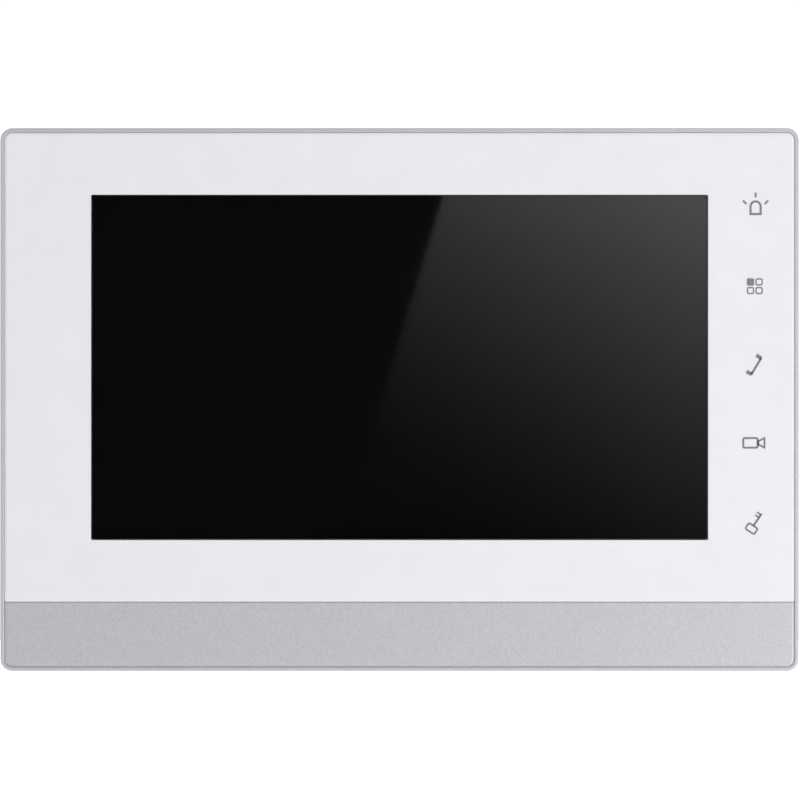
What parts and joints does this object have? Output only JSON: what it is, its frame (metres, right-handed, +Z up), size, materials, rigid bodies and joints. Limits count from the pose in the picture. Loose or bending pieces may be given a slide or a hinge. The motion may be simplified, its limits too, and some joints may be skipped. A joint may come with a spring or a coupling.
{
  "type": "video intercom monitor",
  "caption": "Wall-hung video door intercom monitor: wide screen in a white panel with touch keys, silver rim and lower band, rear sockets and a hooked steel wall bracket.",
  "frame": {"origin": "on the wall, at the bracket's back face, behind the middle of the monitor's front", "axes": "+X across the width towards the touch keys, +Y into the wall, +Z up; the screen faces -Y"},
  "size_m": [0.2, 0.026, 0.136],
  "materials": {
    "zinc_steel": "bright zinc plating",
    "silver_frame": "satin silver paint",
    "casing": "fine spark texture",
    "white_panel": "polished white",
    "window": "polished clear",
    "band": "satin anodised",
    "tape": "double-sided tape",
    "foam": "closed-cell foam",
    "screen": "black screen glass",
    "white_plastic": "moulded natural nylon",
    "circuit_board": "green solder mask",
    "chip_resin": "matt moulded resin",
    "ferrite": "sintered ferrite",
    "aluminium_can": "drawn aluminium",
    "film": "amber film",
    "paper": "pressed paper pulp",
    "rubber": "matt moulded rubber",
    "black_plastic": "matt black"
  },
  "bodies": {
    "bracket": {"wall_bracket": "zinc_steel"},
    "monitor": {"front_frame": "silver_frame", "rear_cover": "casing", "front_panel": "white_panel", "screen_window": "window", "trim_band": "band", "panel_tape": "tape", "band_tape": "tape", "screen_gasket": "foam", "screen_can": "zinc_steel", "screen_glass": "screen", "backlight": "white_plastic", "touch_board": "circuit_board", "touch_pad_sos": "foam", "touch_pad_menu": "foam", "touch_pad_call": "foam", "touch_pad_monitor": "foam", "touch_pad_unlock": "foam", "touch_controller": "chip_resin", "main_board": "circuit_board", "shield_can": "zinc_steel", "video_processor": "chip_resin", "power_inductor": "ferrite", "storage_capacitor": "aluminium_can", "door_1_socket": "white_plastic", "door_2_socket": "white_plastic", "extension_socket": "white_plastic", "power_socket": "white_plastic", "screen_flat_cable": "film", "touch_flat_cable": "film", "speaker_gasket": "foam", "speaker_basket": "zinc_steel", "speaker_cone": "paper", "speaker_magnet": "ferrite", "speaker_lead": "rubber", "microphone_boot": "rubber", "microphone_capsule": "aluminium_can", "microphone_lead": "rubber", "reset_switch": "black_plastic", "power_switch_body": "zinc_steel", "case_screw_1": "zinc_steel", "case_screw_2": "zinc_steel", "case_screw_3": "zinc_steel", "case_screw_4": "zinc_steel", "board_screw_1": "zinc_steel", "board_screw_2": "zinc_steel", "board_screw_3": "zinc_steel", "board_screw_4": "zinc_steel", "speaker_screw_1": "zinc_steel", "speaker_screw_2": "zinc_steel", "touch_screw_1": "zinc_steel", "touch_screw_2": "zinc_steel", "wall_pad_1": "rubber", "wall_pad_2": "rubber", "wall_pad_3": "rubber", "wall_pad_4": "rubber"},
    "reset_plunger": {"reset_button": "black_plastic"},
    "power_knob": {"power_switch_knob": "black_plastic"}
  },
  "joints": [
    {"name": "monitor_lift", "type": "slide", "parent": "bracket", "child": "monitor", "axis": [0, 0, 1], "range_m": [0, 0.008]},
    {"name": "reset_button_press", "type": "slide", "parent": "monitor", "child": "reset_plunger", "axis": [0, 0, 1], "range_m": [0, 0.0005], "stiffness_N_per_m": 1000},
    {"name": "power_switch_slide", "type": "slide", "parent": "monitor", "child": "power_knob", "axis": [0, 0, 1], "range_m": [0, 0.003]}
  ]
}
